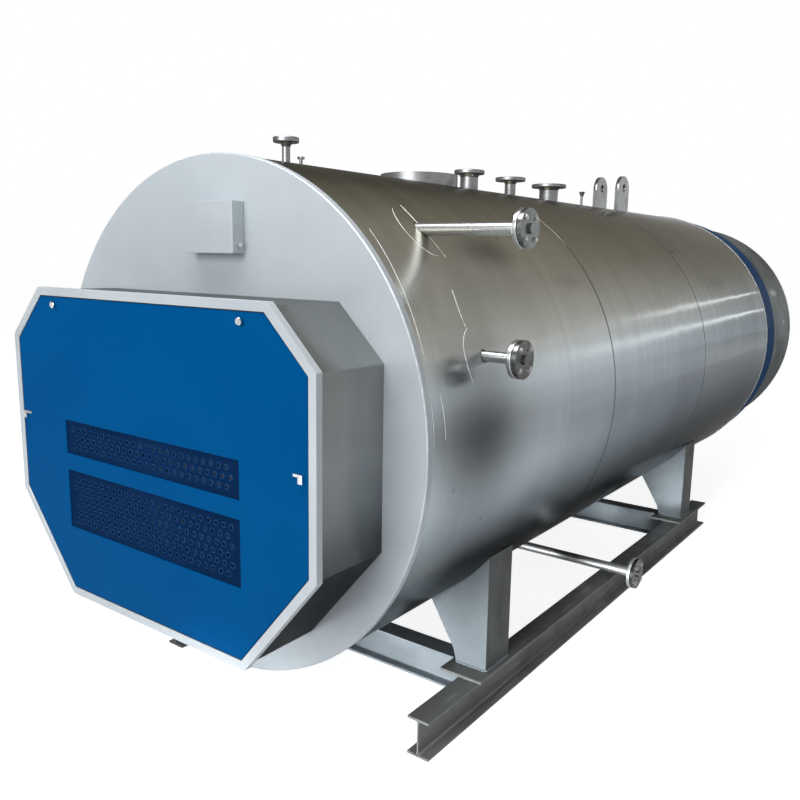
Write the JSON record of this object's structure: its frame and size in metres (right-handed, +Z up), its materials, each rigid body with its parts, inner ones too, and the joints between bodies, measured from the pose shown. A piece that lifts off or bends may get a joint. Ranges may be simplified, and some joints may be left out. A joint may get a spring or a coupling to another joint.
{
  "type": "horizontal fire-tube boiler",
  "caption": "Horizontal fire-tube steam boiler with sheet lagging, an eight-sided burner hood with a flat cover, crown nozzles and a steel beam skid.",
  "frame": {"origin": "on the ground under the middle of the overall box, below the barrel's axis", "axes": "+X to the right of someone facing the back of the boiler from its cover, +Y along the barrel from the burner hood to the rear head, +Z up"},
  "size_m": [1.904, 5.5942, 2.175],
  "materials": {
    "silver_paint": "satin",
    "stainless_sheet": "brushed",
    "blue_paint": "gloss",
    "screen_paint": "matte",
    "bare_steel": "satin",
    "mill_plate": "matte",
    "skid_paint": "satin",
    "leg_paint": "satin",
    "bright_metal": "polished"
  },
  "bodies": {
    "root": {"base_plates": "skid_paint", "blow_down_cover": "bare_steel", "blow_down_pipe": "bare_steel", "box_knob": "bright_metal", "cover_frame": "silver_paint", "cover_knobs": "bright_metal", "cover_latches": "bright_metal", "cross_beam_front": "leg_paint", "cross_beam_rear": "leg_paint", "end_trim": "bright_metal", "flue_collar": "bare_steel", "front_cover": "blue_paint", "front_leg_left": "leg_paint", "front_leg_right": "leg_paint", "front_nozzle": "bare_steel", "front_plate": "silver_paint", "hood_sides": "stainless_sheet", "lagging_front": "stainless_sheet", "lagging_middle": "stainless_sheet", "lagging_rear": "stainless_sheet", "lifting_lugs": "bare_steel", "lower_gauge_cover_left": "bare_steel", "lower_gauge_cover_right": "bare_steel", "lower_gauge_pipe_left": "bare_steel", "lower_gauge_pipe_right": "bare_steel", "lower_screen": "screen_paint", "plate_box": "silver_paint", "rear_band": "blue_paint", "rear_head": "mill_plate", "rear_leg_left": "leg_paint", "rear_leg_right": "leg_paint", "shell_front": "mill_plate", "shell_rear": "mill_plate", "skid_beam_left": "skid_paint", "skid_beam_right": "skid_paint", "top_nozzle_front": "bare_steel", "top_nozzle_middle": "bare_steel", "top_nozzle_rear": "bare_steel", "upper_gauge_cover_left": "bare_steel", "upper_gauge_cover_right": "bare_steel", "upper_gauge_pipe_left": "bare_steel", "upper_gauge_pipe_right": "bare_steel", "upper_screen": "screen_paint", "vent_cock": "bright_metal", "vent_funnel": "bright_metal"}
  },
  "joints": []
}
